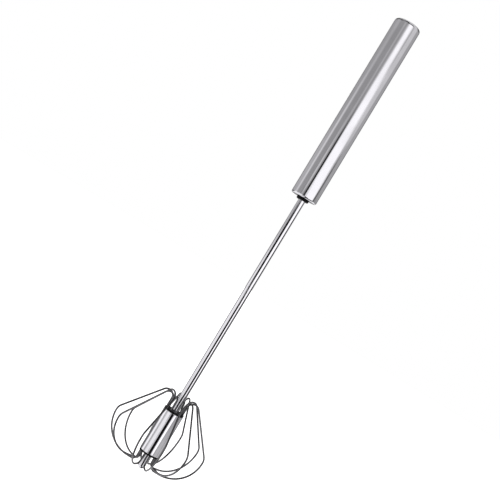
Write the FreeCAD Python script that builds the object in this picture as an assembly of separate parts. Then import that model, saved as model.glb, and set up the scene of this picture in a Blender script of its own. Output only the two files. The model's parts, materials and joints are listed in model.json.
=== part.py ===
import FreeCAD, Part
import math
import os
from FreeCAD import Vector

# Push-down rotary whisk. Pressing the handle drives a twisted bar through a nut on top of the
# shaft, so the shaft and its ten wire loops spin. A spring in the handle pushes them back out.
#
# Millimetres. +Z runs along the tool's axis, from the whisk's tip up to the handle's top. The
# origin is the lowest point of the tip, and loop 1 stands towards +X.

# Handle: a thin steel tube, closed by a cap above and a ring below.
HANDLE_LENGTH = 138.5
HANDLE_D = 19.5
HANDLE_WALL = 0.6
CAP_THICKNESS = 3.2  # outside the tube
CAP_ROUNDING = 2.6
RING_THICKNESS = 1.9  # outside the tube
RING_ROUNDING = 1.2
SPIGOT_DEPTH = 3.0  # how far cap and ring reach into the tube
SPIGOT_WALL = 1.1

# Black bush in the mouth of the handle, which guides the shaft.
BUSH_NOSE_WALL = 1.84
BUSH_NOSE_LENGTH = 1.9  # the part that shows below the handle
BUSH_NOSE_ROUNDING = 0.7
BUSH_FLANGE_THICKNESS = 1.8

# Rubber ring that stops the nut at the end of its return.
BUMPER_THICKNESS = 2.0

# Hollow shaft with a closed, rounded tip.
SHAFT_D = 5.2
SHAFT_WALL = 0.5
SHAFT_SHOWING = 168.4  # from the hub's sleeve to the bush
TIP_BELOW_HUB = 12.9
TIP_SPIGOT_LENGTH = 6.0

# Spiral drive: a flat bar twisted right-handed, and the nut that it turns.
BAR_THICKNESS = 1.2
BAR_LEAD = 32.0  # travel for one full turn
BAR_PAST_NUT = 6.0  # how far the bar reaches below the nut at rest
NUT_LENGTH = 12.0
NUT_SOCKET_DEPTH = 6.0  # seat of the shaft's end in the nut
PLUG_LENGTH = 12.0
BAR_END_COVER = 1.0  # plug left above the bar's end
BAR_PIN_D = 1.6

# Return spring and the flat washers at its ends.
SPRING_WIRE_D = 1.0
SPRING_TURNS = 18
WASHER_THICKNESS = 1.2

# Hub: a black core that holds the wires' ends, inside a steel sleeve.
HUB_LENGTH = 31.7
HUB_D = 15.0
HUB_WALL = 0.6
HUB_ROUNDING = 0.25
CORE_FLANGE_THICKNESS = 1.1  # the part of the core that shows at each end of the sleeve
CORE_FLANGE_INSET = 0.15  # flange inside the sleeve's outer surface

# Wire loops. Both ends of each loop are straight legs in one channel of the core.
LOOP_COUNT = 10
WIRE_D = 1.3
WIRE_GRIP = 13.0  # length of each leg inside the hub
LOOP_REACH = 34.7  # axis to the wire's centre at the widest place
LOOP_LOWEST = 3.2  # height of the wire's centre at the foot of the lowest loop
LOOP_CORNER_RISE = 20.1  # height above the hub where leg and slope would cross
SLOPE_ANGLE = 37.9  # upper run's angle from the axis
TOP_BEND_R = 4.3
SHOULDER_R = 7.0
FOOT_BEND_R = 3.0
# The loops are set by hand: how far each one leans sideways about its own leg, in degrees, and
# how much higher than the lowest loop its foot is.
LOOP_LEANS = (-1.5, 2.0, -2.0, -2.0, -3.0, 0.0, -1.5, 7.0, -2.5, -9.5)
FOOT_LIFTS = (0.0, 0.5, 0.5, 0.5, 0.5, 0.0, 2.5, 1.0, 1.0, 3.0)

# Clearances.
FIXED_GAP = 0.05  # between pieces that don't move on each other
SHAFT_RUNNING_GAP = 0.06  # shaft in its bush, on the radius
NUT_RUNNING_GAP = 0.35  # nut and washers in the handle, on the radius
DRIVE_GAP = 0.15  # each side of the bar in the nut's slot
BAR_BORE_GAP = 0.2  # bar's corners in the shaft's bore
SPRING_GAP = 2.4  # spring in the handle, on the radius
BUMPER_BORE_GAP = 1.5  # bumper clear of the shaft, on the radius
WASHER_BORE_GAP = 0.6  # washers clear of the bar's corners, on the radius
SEAT_GAP = 0.1  # nut above the bumper, and washer above the nut

# Places that follow from the sizes above.
AXIS = Vector(0, 0, 1)
HANDLE_R = HANDLE_D / 2
HANDLE_BORE_R = HANDLE_R - HANDLE_WALL
SPIGOT_R = HANDLE_BORE_R - FIXED_GAP
SPIGOT_BORE_R = SPIGOT_R - SPIGOT_WALL
SHAFT_R = SHAFT_D / 2
SHAFT_BORE_R = SHAFT_R - SHAFT_WALL
SPRING_SEAT_R = HANDLE_BORE_R - NUT_RUNNING_GAP
BUSH_BORE_R = SHAFT_R + SHAFT_RUNNING_GAP
BUSH_NOSE_R = BUSH_BORE_R + BUSH_NOSE_WALL
BAR_CORNER_R = SHAFT_BORE_R - BAR_BORE_GAP
BAR_WIDTH = 2 * math.sqrt(BAR_CORNER_R**2 - (BAR_THICKNESS / 2) ** 2)
WASHER_BORE_R = BAR_CORNER_R + WASHER_BORE_GAP
SPRING_MEAN_R = HANDLE_BORE_R - SPRING_GAP - SPRING_WIRE_D / 2

HUB_LOW = TIP_BELOW_HUB
HUB_HIGH = HUB_LOW + HUB_LENGTH
HUB_R = HUB_D / 2
HUB_BORE_R = HUB_R - HUB_WALL
LEG_R = HUB_BORE_R - FIXED_GAP - WIRE_D / 2
BUSH_LOW = HUB_HIGH + SHAFT_SHOWING
HANDLE_LOW = BUSH_LOW + BUSH_NOSE_LENGTH
HANDLE_HIGH = HANDLE_LOW + HANDLE_LENGTH

TUBE_LOW = HANDLE_LOW + RING_THICKNESS
TUBE_HIGH = HANDLE_HIGH - CAP_THICKNESS
BUMPER_LOW = TUBE_LOW + BUSH_FLANGE_THICKNESS
NUT_LOW = BUMPER_LOW + BUMPER_THICKNESS + SEAT_GAP
NUT_HIGH = NUT_LOW + NUT_LENGTH
SHAFT_HIGH = NUT_LOW + NUT_SOCKET_DEPTH
THRUST_WASHER_LOW = NUT_HIGH + SEAT_GAP
SPRING_LOW = THRUST_WASHER_LOW + WASHER_THICKNESS
PLUG_LOW = TUBE_HIGH - PLUG_LENGTH
UPPER_SEAT_LOW = PLUG_LOW - WASHER_THICKNESS
BAR_LOW = NUT_LOW - BAR_PAST_NUT
BAR_HIGH = TUBE_HIGH - BAR_END_COVER
BAR_PIN_Z = (PLUG_LOW + BAR_HIGH) / 2


def cylinder(radius, low, high):
    """Upright solid cylinder on the axis."""
    return Part.makeCylinder(radius, high - low, Vector(0, 0, low), AXIS)


def ring(outer_r, inner_r, low, high):
    """Upright hollow cylinder on the axis."""
    return cylinder(outer_r, low, high).cut(cylinder(inner_r, low, high))


def round_rim(solid, rim_r, height, rounding):
    """Round off the circular edge of the given radius at the given height."""
    rims = []
    for edge in solid.Edges:
        circle = edge.Curve
        if not isinstance(circle, Part.Circle):
            continue
        if abs(circle.Radius - rim_r) < 1e-6 and abs(circle.Center.z - height) < 1e-6:
            rims.append(edge)
    return solid.makeFillet(rounding, rims)


def twisted_bar(width, thickness, low, high):
    """Rectangle swept up the axis and turned with the drive's lead; its width lies along X at the pin."""
    length = high - low
    spine = Part.Wire([Part.makeLine(Vector(0, 0, 0), Vector(0, 0, length))])
    guide = Part.Wire(Part.makeHelix(BAR_LEAD, length, HANDLE_R).Edges)
    half_width = width / 2
    half_thickness = thickness / 2
    corners = [
        Vector(half_width, -half_thickness, 0),
        Vector(half_width, half_thickness, 0),
        Vector(-half_width, half_thickness, 0),
        Vector(-half_width, -half_thickness, 0),
    ]
    sweep = Part.BRepOffsetAPI.MakePipeShell(spine)
    sweep.setAuxiliarySpine(guide, True, 0)
    sweep.add(Part.makePolygon(corners + corners[:1]))
    sweep.build()
    sweep.makeSolid()
    bar = sweep.shape()
    bar.rotate(Vector(0, 0, 0), AXIS, 360 * (low - BAR_PIN_Z) / BAR_LEAD)
    bar.translate(Vector(0, 0, low))
    return bar


def rounded_path(corners, radii):
    """Straight runs through the corners, each inner corner rounded by a tangent arc."""
    edges = []
    start = corners[0]
    for before, corner, after, radius in zip(corners, corners[1:], corners[2:], radii):
        back = (before - corner).normalize()
        ahead = (after - corner).normalize()
        half_angle = back.getAngle(ahead) / 2
        tangent_length = radius / math.tan(half_angle)
        inward = (back + ahead).normalize()
        arc_start = corner + back * tangent_length
        arc_end = corner + ahead * tangent_length
        arc_middle = corner + inward * (radius / math.sin(half_angle) - radius)
        if start.distanceToPoint(arc_start) > 1e-6:
            edges.append(Part.makeLine(start, arc_start))
        edges.append(Part.Arc(arc_start, arc_middle, arc_end).toShape())
        start = arc_end
    edges.append(Part.makeLine(start, corners[-1]))
    return Part.Wire(edges)


def handle_tube():
    """Plain thin tube between the cap and the ring."""
    return ring(HANDLE_R, HANDLE_BORE_R, TUBE_LOW, TUBE_HIGH)


def handle_cap():
    """Flat top with a rounded edge, and a hollow spigot down into the tube."""
    top = round_rim(cylinder(HANDLE_R, TUBE_HIGH, HANDLE_HIGH), HANDLE_R, HANDLE_HIGH, CAP_ROUNDING)
    return top.fuse(ring(SPIGOT_R, SPIGOT_BORE_R, TUBE_HIGH - SPIGOT_DEPTH, TUBE_HIGH))


def mouth_ring():
    """The cap's counterpart below, with a hole for the bush."""
    bottom = round_rim(cylinder(HANDLE_R, HANDLE_LOW, TUBE_LOW), HANDLE_R, HANDLE_LOW, RING_ROUNDING)
    hole = cylinder(BUSH_NOSE_R + FIXED_GAP, HANDLE_LOW, TUBE_LOW)
    return bottom.cut(hole).fuse(ring(SPIGOT_R, SPIGOT_BORE_R, TUBE_LOW, TUBE_LOW + SPIGOT_DEPTH))


def mouth_bush():
    """Nose through the ring, a flange on top of the ring, and the shaft's bore."""
    nose = round_rim(cylinder(BUSH_NOSE_R, BUSH_LOW, TUBE_LOW), BUSH_NOSE_R, BUSH_LOW, BUSH_NOSE_ROUNDING)
    flange = cylinder(SPIGOT_BORE_R - FIXED_GAP, TUBE_LOW, BUMPER_LOW)
    return nose.fuse(flange).cut(cylinder(BUSH_BORE_R, BUSH_LOW, BUMPER_LOW))


def bumper_ring():
    """Soft ring lying on the bush's flange."""
    bore_r = SHAFT_R + BUMPER_BORE_GAP
    return ring(SPIGOT_BORE_R - FIXED_GAP, bore_r, BUMPER_LOW, BUMPER_LOW + BUMPER_THICKNESS)


def bar_pin(gap=0.0):
    """Cross pin through plug and bar, square to the bar's wide faces."""
    half_length = SPIGOT_BORE_R - SPIGOT_WALL
    start = Vector(0, -half_length - gap, BAR_PIN_Z)
    return Part.makeCylinder(BAR_PIN_D / 2 + gap, 2 * (half_length + gap), start, Vector(0, 1, 0))


def top_plug():
    """Plug under the cap that anchors the bar; its top end steps in to fit the cap's spigot."""
    step = TUBE_HIGH - SPIGOT_DEPTH - FIXED_GAP
    body = cylinder(SPIGOT_R, PLUG_LOW, step).fuse(cylinder(SPIGOT_BORE_R - FIXED_GAP, step, TUBE_HIGH))
    bar_slot = twisted_bar(
        BAR_WIDTH + 2 * FIXED_GAP, BAR_THICKNESS + 2 * FIXED_GAP, PLUG_LOW - FIXED_GAP, BAR_HIGH + FIXED_GAP
    )
    return body.cut(bar_slot).cut(bar_pin(FIXED_GAP))


def spiral_bar():
    """Twisted flat bar from the plug down through spring and nut into the shaft's bore."""
    return twisted_bar(BAR_WIDTH, BAR_THICKNESS, BAR_LOW, BAR_HIGH).cut(bar_pin(FIXED_GAP))


def spring_washer(low):
    """Flat washer at one end of the spring."""
    return ring(SPRING_SEAT_R, WASHER_BORE_R, low, low + WASHER_THICKNESS)


def return_spring():
    """Open coil spring between the two washers."""
    wire_r = SPRING_WIRE_D / 2
    coil_low = SPRING_LOW + wire_r + FIXED_GAP
    coil_height = UPPER_SEAT_LOW - wire_r - FIXED_GAP - coil_low
    coil = Part.makeHelix(coil_height / SPRING_TURNS, coil_height, SPRING_MEAN_R)
    sweep = Part.BRepOffsetAPI.MakePipeShell(Part.Wire(coil.Edges))
    sweep.setFrenetMode(True)
    sweep.add(Part.Wire([Part.makeCircle(wire_r, Vector(SPRING_MEAN_R, 0, 0), Vector(0, 1, 0))]))
    sweep.build()
    sweep.makeSolid()
    spring = sweep.shape()
    spring.translate(Vector(0, 0, coil_low))
    return spring


def drive_nut():
    """Round nut: a socket for the shaft's end below, and the bar's twisted slot above."""
    body = cylinder(SPRING_SEAT_R, NUT_LOW, NUT_HIGH)
    socket = cylinder(SHAFT_R + FIXED_GAP, NUT_LOW, SHAFT_HIGH + FIXED_GAP)
    bar_slot = twisted_bar(
        BAR_WIDTH + 2 * DRIVE_GAP, BAR_THICKNESS + 2 * DRIVE_GAP, SHAFT_HIGH - 1, NUT_HIGH + 1
    )
    return body.cut(socket).cut(bar_slot)


def shaft_tube():
    """Thin tube from the tip's shoulder up into the nut."""
    return ring(SHAFT_R, SHAFT_BORE_R, SHAFT_R, SHAFT_HIGH)


def shaft_tip():
    """Half-ball that closes the tube, with a spigot inside it."""
    ball = Part.makeSphere(SHAFT_R, Vector(0, 0, SHAFT_R))
    half_ball = ball.common(cylinder(SHAFT_D, 0, SHAFT_R))
    return half_ball.fuse(cylinder(SHAFT_BORE_R - FIXED_GAP, SHAFT_R, SHAFT_R + TIP_SPIGOT_LENGTH))


def loop_angle(index):
    """Direction of a loop's channel around the axis, in degrees from +X."""
    return 360 * index / LOOP_COUNT


def hub_core():
    """Collar on the shaft with a flange at each end and one lengthwise channel per loop."""
    low = HUB_LOW - FIXED_GAP - CORE_FLANGE_THICKNESS
    high = HUB_HIGH + FIXED_GAP + CORE_FLANGE_THICKNESS
    flange_r = HUB_R - CORE_FLANGE_INSET
    core = cylinder(HUB_BORE_R - FIXED_GAP, low, high)
    for flange_low in (low, HUB_HIGH + FIXED_GAP):
        core = core.fuse(cylinder(flange_r, flange_low, flange_low + CORE_FLANGE_THICKNESS))
    bores = [cylinder(SHAFT_R + FIXED_GAP, low, high)]
    for index in range(LOOP_COUNT):
        channel = Part.makeCylinder(WIRE_D / 2 + FIXED_GAP, high - low, Vector(LEG_R, 0, low), AXIS)
        channel.rotate(Vector(0, 0, 0), AXIS, loop_angle(index))
        bores.append(channel)
    return core.cut(bores)


def hub_sleeve():
    """Thin tube around the core, with softened outer rims."""
    sleeve = ring(HUB_R, HUB_BORE_R, HUB_LOW, HUB_HIGH)
    for height in (HUB_LOW, HUB_HIGH):
        sleeve = round_rim(sleeve, HUB_R, height, HUB_ROUNDING)
    return sleeve


def wire_loop(index):
    """One loop: up from the hub, over, down the slope, round the belly and back up into the hub."""
    foot_z = LOOP_LOWEST + FOOT_LIFTS[index % len(FOOT_LIFTS)]
    slope = math.radians(SLOPE_ANGLE)
    top_corner_z = HUB_HIGH + LOOP_CORNER_RISE
    shoulder_z = top_corner_z - (LOOP_REACH - LEG_R) / math.tan(slope)
    belly_height = shoulder_z - SHOULDER_R * math.tan(slope / 2) - foot_z
    belly_width = LOOP_REACH - LEG_R - FOOT_BEND_R
    corners = [
        Vector(LEG_R, 0, HUB_HIGH - WIRE_GRIP),
        Vector(LEG_R, 0, top_corner_z),
        Vector(LOOP_REACH, 0, shoulder_z),
        Vector(LOOP_REACH, 0, foot_z),
        Vector(LEG_R, 0, foot_z),
        Vector(LEG_R, 0, HUB_LOW + WIRE_GRIP),
    ]
    path = rounded_path(corners, [TOP_BEND_R, SHOULDER_R, min(belly_height, belly_width), FOOT_BEND_R])
    section = Part.Wire([Part.makeCircle(WIRE_D / 2, corners[0], AXIS)])
    loop = path.makePipeShell([section], True, False)
    loop.rotate(Vector(LEG_R, 0, 0), AXIS, LOOP_LEANS[index % len(LOOP_LEANS)])
    loop.rotate(Vector(0, 0, 0), AXIS, loop_angle(index))
    return loop


def all_nodes():
    """Every piece of the whisk by its node name."""
    nodes = {
        "handle_tube": handle_tube(),
        "handle_cap": handle_cap(),
        "mouth_ring": mouth_ring(),
        "mouth_bush": mouth_bush(),
        "bumper_ring": bumper_ring(),
        "top_plug": top_plug(),
        "spiral_bar": spiral_bar(),
        "bar_pin": bar_pin(),
        "upper_spring_seat": spring_washer(UPPER_SEAT_LOW),
        "return_spring": return_spring(),
        "thrust_washer": spring_washer(THRUST_WASHER_LOW),
        "drive_nut": drive_nut(),
        "shaft_tube": shaft_tube(),
        "shaft_tip": shaft_tip(),
        "hub_core": hub_core(),
        "hub_sleeve": hub_sleeve(),
    }
    for index in range(LOOP_COUNT):
        nodes[f"wire_loop_{index + 1:02d}"] = wire_loop(index)
    return nodes


os.makedirs("parts", exist_ok=True)
for name, shape in all_nodes().items():
    shape.exportStep(f"parts/{name}.step")
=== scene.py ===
import json
import math

import bpy
from mathutils import Matrix, Vector


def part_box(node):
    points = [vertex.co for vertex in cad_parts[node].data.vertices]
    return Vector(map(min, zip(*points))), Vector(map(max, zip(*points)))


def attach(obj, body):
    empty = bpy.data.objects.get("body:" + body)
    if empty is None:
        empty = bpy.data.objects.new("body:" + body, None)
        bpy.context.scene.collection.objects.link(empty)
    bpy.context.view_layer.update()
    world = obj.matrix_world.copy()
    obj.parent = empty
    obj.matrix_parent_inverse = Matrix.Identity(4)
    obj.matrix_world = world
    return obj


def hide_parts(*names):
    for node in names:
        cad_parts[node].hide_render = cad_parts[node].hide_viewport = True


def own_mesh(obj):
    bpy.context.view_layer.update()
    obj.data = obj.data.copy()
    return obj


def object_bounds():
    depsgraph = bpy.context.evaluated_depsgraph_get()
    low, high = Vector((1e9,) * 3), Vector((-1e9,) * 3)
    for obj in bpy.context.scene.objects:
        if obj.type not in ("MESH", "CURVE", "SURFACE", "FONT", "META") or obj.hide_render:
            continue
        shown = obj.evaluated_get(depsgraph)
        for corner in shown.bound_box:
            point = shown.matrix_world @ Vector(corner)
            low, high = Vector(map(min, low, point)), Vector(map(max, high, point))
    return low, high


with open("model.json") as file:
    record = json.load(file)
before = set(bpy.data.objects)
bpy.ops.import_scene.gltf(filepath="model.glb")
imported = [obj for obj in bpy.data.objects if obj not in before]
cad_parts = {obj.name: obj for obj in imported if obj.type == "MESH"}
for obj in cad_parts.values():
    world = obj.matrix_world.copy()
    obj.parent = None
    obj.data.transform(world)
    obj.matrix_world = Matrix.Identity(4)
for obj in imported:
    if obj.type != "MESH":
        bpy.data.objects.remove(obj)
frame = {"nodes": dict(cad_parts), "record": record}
CAD_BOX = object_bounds()

# Looks of a push-down rotary whisk: polished steel parts in a white studio.
# Metres and degrees, in the part's own frame: +Z up the tool, origin at the tip.
UP = Vector((0, 0, 1))

# Camera.
CAMERA_TURN = 4.75  # camera's azimuth round the tool
CAMERA_DISTANCE = 0.70
CAMERA_HEIGHT = 0.166  # above the tip
CAMERA_LEFT = 0.0128  # left of the tool's axis
CAMERA_ROLL = 31.2  # the tool leans to the right by this much
CAMERA_LENS = 74.0  # this and the sensor in millimetres
CAMERA_SENSOR = 36.0
CAMERA_CLIP_NEAR = 0.01
CAMERA_CLIP_FAR = 50

# Floor.
FLOOR_DROP = 0.12  # below the tip
FLOOR_RADIUS = 8.0
FLOOR_CORNERS = 64
FLOOR_GREY = 0.9
FLOOR_ROUGHNESS = 0.9
FLOOR_GLOW = 1.2

# Noise: the part of its range that a finish varies over.
NOISE_LOW = 0.3
NOISE_HIGH = 0.7

# Steel: polishing lines, which are noise drawn out along the tool, over slow clouds.
LINE_SQUEEZE = 0.012  # of the noise's place along the tool
LINE_DETAIL = 3.0
LINE_BUMP = 0.25
CLOUD_SCALE = 90.0
CLOUD_DETAIL = 4.0
CLOUD_SHARE = 0.35  # of the clouds in the changes of roughness
TONE_SPREAD = 0.025
STEEL_GREEN = 0.985  # this and blue are for each part of red that it mirrors
STEEL_BLUE = 1.035

# Finish of each steel slot: tone, roughness, its spread, scale and height of the polishing lines.
STEELS = {
    "handle_steel": (0.88, 0.09, 0.02, 1500.0, 0.00002),
    "shaft_steel": (0.90, 0.06, 0.02, 2500.0, 0.00001),
    "hub_steel": (0.90, 0.04, 0.02, 2500.0, 0.00001),
    # The wires' low tone is painted shade: the same steel is darkened to stand in for the dark surroundings
    # mirrored along the thin wires.
    "wire_steel": (0.20, 0.07, 0.02, 3000.0, 0.00001),
    "inner_steel": (0.60, 0.30, 0.06, 1200.0, 0.00003),
    "spring_steel": (0.50, 0.25, 0.06, 1800.0, 0.00003),
}

# Plastic and rubber.
GRAIN_DETAIL = 5.0
GRAIN_BUMP = 0.4
GRAIN_ROUGHNESS_SPREAD = 0.06

# Finish of each moulded slot: darkest and lightest colour, roughness, gloss, scale and height of the grain.
MOULDINGS = {
    "black_plastic": ((0.001, 0.001, 0.0012), (0.004, 0.004, 0.0045), 0.42, 0.12, 900.0, 0.00003),
    "white_nylon": ((0.72, 0.70, 0.64), (0.82, 0.81, 0.76), 0.45, 0.5, 700.0, 0.00003),
    "bumper_rubber": ((0.012, 0.012, 0.012), (0.03, 0.03, 0.03), 0.75, 0.4, 1100.0, 0.00005),
}

# Return spring, inside the handle.
SPRING_WIRE_R = 0.0005
SPRING_TURNS = 18
SPRING_CLOSED_TURNS = 1.0  # at each end, where the coils touch
SPRING_STEPS = 28  # along one turn
SPRING_SIDES = 10  # round the wire

# Studio surroundings: what the steel mirrors. Each card is a patch of brightness with soft edges, and a later
# card covers an earlier one. Azimuth 0 is towards the camera and +90 is to its right; height 0 is level and
# +90 is straight up. A flag is a dark card and a key is a bright one.
# Name, azimuth from and to, height from and to, softness across and up, brightness.
SURROUND = 0.36
CARDS = (
    # Over and under the tool.
    ("ceiling", -200, 200, 36, 100, 10, 12, 0.60),
    ("ceiling_flag", -110, -6, 30, 92, 14, 8, 0.0),
    ("ceiling_right_flag", -6, 60, 34, 66, 14, 10, 0.05),
    ("table", -200, 200, -100, -24, 10, 8, 0.95),
    ("table_shade", -100, 100, -100, -62, 10, 8, 0.40),
    ("table_flag", 4, 100, -100, -11, 8, 5, 0.0),
    # Left of the camera.
    ("left_panel", -72, -12, 0, 60, 10, 6, 0.31),
    ("left_strip", -98, -80, 2, 12, 10, 8, 0.66),
    ("left_high_strip", -108, -80, 12, 34, 12, 8, 0.42),
    ("thin_strip", -37, -24, 1, 8, 5, 4, 0.62),
    ("thin_high_strip", -33, -20, 8, 34, 8, 4, 0.42),
    ("left_low_panel", -106, -13, -26, 1, 8, 5, 0.90),
    ("left_low_strip", -104, -80, -26, -9, 6, 4, 0.98),
    ("left_low_gap", -78, -54, -26, -7, 6, 6, 0.60),
    ("left_edge_gap", -150, -112, -26, 3, 8, 6, 0.12),
    ("left_side", -138, -98, 3.5, 8, 14, 3, 0.46),
    # Right of the camera.
    ("right_wall", 56, 104, 7, 40, 12, 6, 0.60),
    ("right_edge", 96, 150, -3, 40, 12, 6, 0.38),
    ("right_low_wall", 46, 118, -26, -2, 6, 5, 0.36),
    ("right_lowest_wall", 46, 118, -26, -11, 6, 2, 0.50),
    ("right_flag", 80, 95, 3.7, 7, 6, 1.5, 0.14),
    ("right_shaft_flag", 78, 120, -4, 3.7, 8, 1.5, 0.02),
    ("right_low_flag", 64, 106, -9.8, -4, 8, 1, 0.02),
    # Main light, a little right of the camera: the bright band along every round part.
    ("key", -1, 76, -2, 5.5, 8, 2.5, 1.15),
    ("upper_key", 0, 67, 5, 8.5, 14, 2.5, 1.12),
    ("middle_key", 1, 56, 8, 12, 18, 3, 1.10),
    ("high_key", 4, 43, 11.5, 40, 24, 4, 1.10),
    ("low_key", 13, 60, -9, -1, 6, 3, 1.30),
    ("lowest_key", 20, 44, -24, -8, 5, 3, 1.20),
    # Dark strips in front: the dark line along handle, shaft, hub and tip.
    ("front_flag", -16, -3, 3.6, 9, 5, 2.5, 0.0),
    ("shaft_flag", -43, 12, -2, 3.7, 6, 1.2, 0.0),
    ("low_shaft_flag", -20, 30, -9.9, -2, 6, 0.6, 0.0),
    ("hub_flag", -9, 16, -12.6, -9.7, 4, 0.6, 0.0),
    ("tip_flag", -24, 30, -30, -12.5, 6, 0.6, 0.0),
    # Behind the tool.
    ("right_back_gap", 138, 162, -26, 40, 10, 12, 0.18),
    ("left_back_gap", -162, -142, -26, 40, 10, 12, 0.22),
    ("back_key", 158, 173, -40, 40, 6, 12, 1.00),
    ("back_wall", -173, -160, -40, 40, 6, 12, 0.80),
    ("back_flag_right", 174, 184, -40, 46, 4, 12, 0.25),
    ("back_flag_left", -184, -174, -40, 46, 4, 12, 0.25),
    ("high_back_right", 120, 182, 20, 46, 10, 8, 0.08),
    ("high_back_left", -182, -120, 20, 46, 10, 8, 0.08),
)


def camera_axes():
    """Unit vectors from the tool towards the camera, and to the camera's right when it isn't rolled."""
    turn = math.radians(CAMERA_TURN)
    towards = Vector((math.sin(turn), -math.cos(turn), 0))
    right = Vector((math.cos(turn), math.sin(turn), 0))
    return towards, right


def make_camera():
    """Long lens level with the middle of the tool, rolled so that the tool leans to the right."""
    towards, right = camera_axes()
    roll = math.radians(CAMERA_ROLL)
    target = UP * CAMERA_HEIGHT - right * CAMERA_LEFT
    x_axis = right * math.cos(roll) + UP * math.sin(roll)
    y_axis = UP * math.cos(roll) - right * math.sin(roll)
    data = bpy.data.cameras.new("camera")
    data.lens = CAMERA_LENS
    data.sensor_width = CAMERA_SENSOR
    data.clip_start = CAMERA_CLIP_NEAR
    data.clip_end = CAMERA_CLIP_FAR
    camera = bpy.data.objects.new("camera", data)
    rotation = Matrix((x_axis, y_axis, towards)).transposed()
    camera.matrix_world = Matrix.Translation(target + towards * CAMERA_DISTANCE) @ rotation.to_4x4()
    bpy.context.scene.collection.objects.link(camera)
    bpy.context.scene.camera = camera


class Nodes:
    """Short way to add shader nodes, whose inputs are sockets or plain values.

    add and vector give the node, and the others give its output.
    """

    def __init__(self, tree):
        self.tree = tree

    def add(self, kind, inputs=None, **settings):
        node = self.tree.nodes.new(kind)
        for name, value in settings.items():
            setattr(node, name, value)
        for key, value in (inputs or {}).items():
            socket = node.inputs[key]
            if isinstance(value, bpy.types.NodeSocket):
                self.tree.links.new(value, socket)
            else:
                socket.default_value = value
        return node

    def math(self, operation, *values):
        return self.add("ShaderNodeMath", dict(enumerate(values)), operation=operation).outputs[0]

    def vector(self, operation, *values):
        return self.add("ShaderNodeVectorMath", dict(enumerate(values)), operation=operation)

    def mix(self, factor, a, b):
        return self.math("ADD", a, self.math("MULTIPLY", factor, self.math("SUBTRACT", b, a)))

    def ramp(self, value, low, high, at_low=0.0, at_high=1.0):
        inputs = {"Value": value, "From Min": low, "From Max": high, "To Min": at_low, "To Max": at_high}
        node = self.add("ShaderNodeMapRange", inputs, interpolation_type="SMOOTHSTEP", clamp=True)
        return node.outputs["Result"]

    def noise(self, place, scale, detail):
        node = self.add("ShaderNodeTexNoise", {"Vector": place, "Scale": scale, "Detail": detail})
        return node.outputs["Fac"]

    def vary(self, noise, middle, spread):
        return self.ramp(noise, NOISE_LOW, NOISE_HIGH, middle - spread, middle + spread)


def soft_span(nodes, value, low, high, softness):
    """1 between low and high, falling to 0 over the softness at each end."""
    rise = nodes.ramp(value, low - softness / 2, low + softness / 2)
    fall = nodes.ramp(value, high - softness / 2, high + softness / 2, 1.0, 0.0)
    return nodes.math("MULTIPLY", rise, fall)


def make_world():
    """White to the camera, and a ring of soft cards to everything that mirrors it."""
    world = bpy.data.worlds.new("studio")
    world.use_nodes = True
    world.node_tree.nodes.clear()
    nodes = Nodes(world.node_tree)
    towards, right = camera_axes()
    direction = nodes.add("ShaderNodeTexCoord").outputs["Generated"]
    depth = nodes.vector("DOT_PRODUCT", direction, towards).outputs["Value"]
    side = nodes.vector("DOT_PRODUCT", direction, right).outputs["Value"]
    height = nodes.vector("DOT_PRODUCT", direction, UP).outputs["Value"]
    azimuth = nodes.math("DEGREES", nodes.math("ARCTAN2", side, depth))
    elevation = nodes.math("DEGREES", nodes.math("ARCSINE", height))
    light = SURROUND
    for _name, left, right, low, high, across, up, brightness in CARDS:
        wide = soft_span(nodes, azimuth, left, right, across)
        tall = soft_span(nodes, elevation, low, high, up)
        light = nodes.mix(nodes.math("MULTIPLY", wide, tall), light, brightness)
    studio = nodes.add("ShaderNodeBackground", {"Color": light, "Strength": 1.0}).outputs[0]
    white = nodes.add("ShaderNodeBackground", {"Color": (1, 1, 1, 1), "Strength": 1.0}).outputs[0]
    seen = nodes.add("ShaderNodeLightPath").outputs["Is Camera Ray"]
    shader = nodes.add("ShaderNodeMixShader", {0: seen, 1: studio, 2: white}).outputs[0]
    nodes.add("ShaderNodeOutputWorld", {"Surface": shader})
    bpy.context.scene.world = world
    bpy.context.scene.view_settings.view_transform = "Standard"
    bpy.context.scene.view_settings.look = "None"


def new_material(name):
    """Empty node material, its Principled shader and a node helper."""
    material = bpy.data.materials.new(name)
    material.use_nodes = True
    material.node_tree.nodes.clear()
    nodes = Nodes(material.node_tree)
    shader = nodes.add("ShaderNodeBsdfPrincipled")
    nodes.add("ShaderNodeOutputMaterial", {"Surface": shader.outputs[0]})
    return material, shader, nodes


def steel(name, tone, roughness, roughness_spread, line_scale, line_height):
    """Polished steel with fine polishing lines along the tool and slow changes of tone."""
    material, shader, nodes = new_material(name)
    place = nodes.add("ShaderNodeTexCoord").outputs["Object"]
    squeezed = nodes.vector("MULTIPLY", place, (1.0, 1.0, LINE_SQUEEZE)).outputs[0]
    lines = nodes.noise(squeezed, line_scale, LINE_DETAIL)
    clouds = nodes.noise(place, CLOUD_SCALE, CLOUD_DETAIL)
    uneven = nodes.mix(CLOUD_SHARE, lines, clouds)
    rough = nodes.vary(uneven, roughness, roughness_spread)
    shade = nodes.vary(clouds, tone, TONE_SPREAD)
    green = nodes.math("MULTIPLY", shade, STEEL_GREEN)
    blue = nodes.math("MULTIPLY", shade, STEEL_BLUE)
    colour = nodes.add("ShaderNodeCombineColor", {"Red": shade, "Green": green, "Blue": blue})
    bump = nodes.add("ShaderNodeBump", {"Height": lines, "Strength": LINE_BUMP, "Distance": line_height})
    links = material.node_tree.links
    links.new(colour.outputs[0], shader.inputs["Base Color"])
    links.new(rough, shader.inputs["Roughness"])
    links.new(bump.outputs[0], shader.inputs["Normal"])
    shader.inputs["Metallic"].default_value = 1.0
    return material


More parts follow.
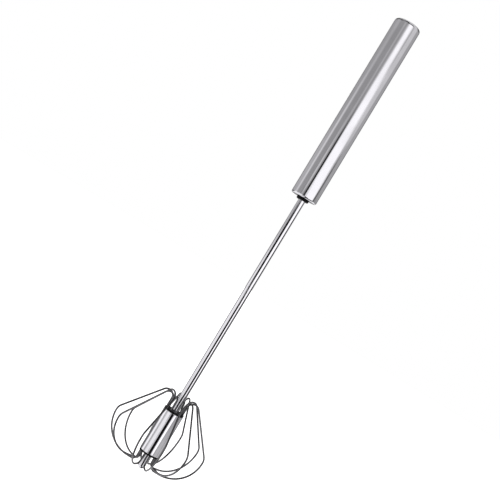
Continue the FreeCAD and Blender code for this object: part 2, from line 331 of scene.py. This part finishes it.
def moulded(name, dark, light, roughness, gloss, grain_scale, grain_height):
    """Moulded plastic or rubber with a fine surface grain."""
    material, shader, nodes = new_material(name)
    shader.inputs["Specular IOR Level"].default_value = gloss
    place = nodes.add("ShaderNodeTexCoord").outputs["Object"]
    grain = nodes.noise(place, grain_scale, GRAIN_DETAIL)
    tint = nodes.add("ShaderNodeMix", {"Factor": grain}, data_type="RGBA")
    tint.inputs["A"].default_value = (*dark, 1)
    tint.inputs["B"].default_value = (*light, 1)
    rough = nodes.vary(grain, roughness, GRAIN_ROUGHNESS_SPREAD)
    bump = nodes.add("ShaderNodeBump", {"Height": grain, "Strength": GRAIN_BUMP, "Distance": grain_height})
    links = material.node_tree.links
    links.new(tint.outputs["Result"], shader.inputs["Base Color"])
    links.new(rough, shader.inputs["Roughness"])
    links.new(bump.outputs[0], shader.inputs["Normal"])
    return material


def make_materials():
    """One finish for each material slot of the record."""
    steels = {name: steel(name, *finish) for name, finish in STEELS.items()}
    mouldings = {name: moulded(name, *finish) for name, finish in MOULDINGS.items()}
    return {**steels, **mouldings}


def dress_nodes(materials):
    """Give every CAD node the finish of its slot."""
    for part in frame["record"]["subparts"]:
        mesh = frame["nodes"][part["node"]].data
        mesh.materials.clear()
        mesh.materials.append(materials[part["material_slot"]])


def level_spoke(step, steps):
    """Level unit vector, one step of a full circle."""
    angle = 2 * math.pi * step / steps
    return Vector((math.cos(angle), math.sin(angle), 0))


def make_floor():
    """Wide pale disc under the tool, seen by the camera but not mirrored in the steel."""
    mesh = bpy.data.meshes.new("floor")
    rim = [FLOOR_RADIUS * level_spoke(corner, FLOOR_CORNERS) for corner in range(FLOOR_CORNERS)]
    mesh.from_pydata(rim, [], [tuple(range(FLOOR_CORNERS))])
    floor = bpy.data.objects.new("floor", mesh)
    floor.location.z = CAD_BOX[0].z - FLOOR_DROP
    floor.visible_glossy = False
    material, shader, _nodes = new_material("floor")
    shader.inputs["Base Color"].default_value = (FLOOR_GREY, FLOOR_GREY, FLOOR_GREY, 1)
    shader.inputs["Roughness"].default_value = FLOOR_ROUGHNESS
    shader.inputs["Emission Color"].default_value = (1, 1, 1, 1)
    shader.inputs["Emission Strength"].default_value = FLOOR_GLOW
    mesh.materials.append(material)
    bpy.context.scene.collection.objects.link(floor)


def coil_rise(turn, length):
    """Height of the spring wire's centre above its lower end: closed turns, open turns, closed turns."""
    pitch = 2 * SPRING_WIRE_R
    from_top = SPRING_TURNS - turn
    if turn <= SPRING_CLOSED_TURNS:
        return pitch * turn
    if from_top <= SPRING_CLOSED_TURNS:
        return length - pitch * from_top
    closed = pitch * SPRING_CLOSED_TURNS
    share = (turn - SPRING_CLOSED_TURNS) / (SPRING_TURNS - 2 * SPRING_CLOSED_TURNS)
    return closed + share * (length - 2 * closed)


def coil_surface(coil_r, length, bottom):
    """Vertices and faces of a round wire wound into a coil; coil_r and length are to the wire's centre."""
    steps = SPRING_TURNS * SPRING_STEPS
    vertices = []
    for step in range(steps + 1):
        outward = level_spoke(step, SPRING_STEPS)
        centre = outward * coil_r + UP * (bottom + coil_rise(step / SPRING_STEPS, length))
        for side in range(SPRING_SIDES):
            lap = 2 * math.pi * side / SPRING_SIDES
            vertices.append(centre + SPRING_WIRE_R * (outward * math.cos(lap) + UP * math.sin(lap)))
    first_end = range(SPRING_SIDES)
    last_end = range(steps * SPRING_SIDES, (steps + 1) * SPRING_SIDES)
    faces = [tuple(first_end), tuple(reversed(last_end))]
    for step in range(steps):
        for side in range(SPRING_SIDES):
            this = step * SPRING_SIDES + side
            next_side = step * SPRING_SIDES + (side + 1) % SPRING_SIDES
            faces.append((this, this + SPRING_SIDES, next_side + SPRING_SIDES, next_side))
    return vertices, faces


def make_spring(material):
    """Compression spring with closed ends, in the CAD spring's place, parented to the handle's body."""
    low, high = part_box("return_spring")
    coil_r = (high.x - low.x) / 2 - SPRING_WIRE_R
    length = high.z - low.z - 2 * SPRING_WIRE_R
    vertices, faces = coil_surface(coil_r, length, low.z + SPRING_WIRE_R)
    mesh = bpy.data.meshes.new("coil_spring")
    mesh.from_pydata(vertices, [], faces)
    mesh.shade_smooth()
    mesh.materials.append(material)
    spring = bpy.data.objects.new("coil_spring", mesh)
    bpy.context.scene.collection.objects.link(spring)
    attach(spring, "handle")
    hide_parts("return_spring")
    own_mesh(spring)


make_camera()
make_world()
make_floor()
MATERIALS = make_materials()
dress_nodes(MATERIALS)
make_spring(MATERIALS["spring_steel"])
